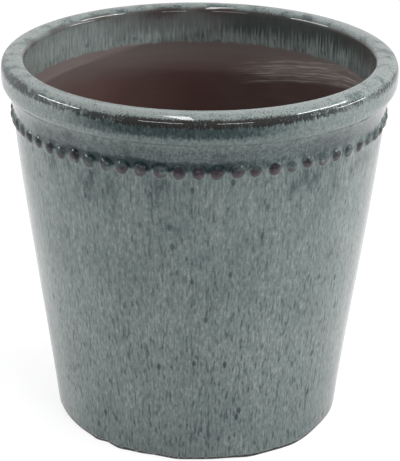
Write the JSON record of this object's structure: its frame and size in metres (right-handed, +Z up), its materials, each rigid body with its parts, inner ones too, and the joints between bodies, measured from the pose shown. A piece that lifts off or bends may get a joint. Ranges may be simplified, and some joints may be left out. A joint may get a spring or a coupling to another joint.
{
  "type": "flower pot",
  "caption": "Tapered round stoneware flower pot with a rolled rim, flared collar, beaded neck and drain hole; glazed outside, holds soil and a plant.",
  "frame": {"origin": "on the table under the foot ring, on the pot's axis", "axes": "+Z up along the pot's axis; the picture looks along +Y, with +X to the right"},
  "size_m": [0.37, 0.37, 0.3563],
  "materials": {
    "streaked_glaze": "glossy grey-teal reactive glaze with fine vertical streaks and dark specks; brown wash inside",
    "rim_glaze": "glossy pale grey-teal glaze, breaking to dark brown along the rim's edges",
    "bead_glaze": "glossy glaze, broken to maroon brown on the beads",
    "brown_wash": "satin brown wash"
  },
  "bodies": {
    "root": {"wall": "streaked_glaze", "collar_band": "streaked_glaze", "rim_roll": "rim_glaze", "floor_slab": "brown_wash", "bead_strip_01": "bead_glaze", "bead_strip_02": "bead_glaze", "bead_strip_03": "bead_glaze", "bead_strip_04": "bead_glaze", "bead_strip_05": "bead_glaze", "bead_strip_06": "bead_glaze", "bead_strip_07": "bead_glaze", "bead_strip_08": "bead_glaze", "bead_strip_09": "bead_glaze", "bead_strip_10": "bead_glaze", "bead_strip_11": "bead_glaze", "bead_strip_12": "bead_glaze", "bead_strip_13": "bead_glaze", "bead_strip_14": "bead_glaze", "bead_strip_15": "bead_glaze", "bead_strip_16": "bead_glaze", "bead_strip_17": "bead_glaze", "bead_strip_18": "bead_glaze", "bead_strip_19": "bead_glaze", "bead_strip_20": "bead_glaze", "bead_strip_21": "bead_glaze", "bead_strip_22": "bead_glaze"}
  },
  "joints": []
}
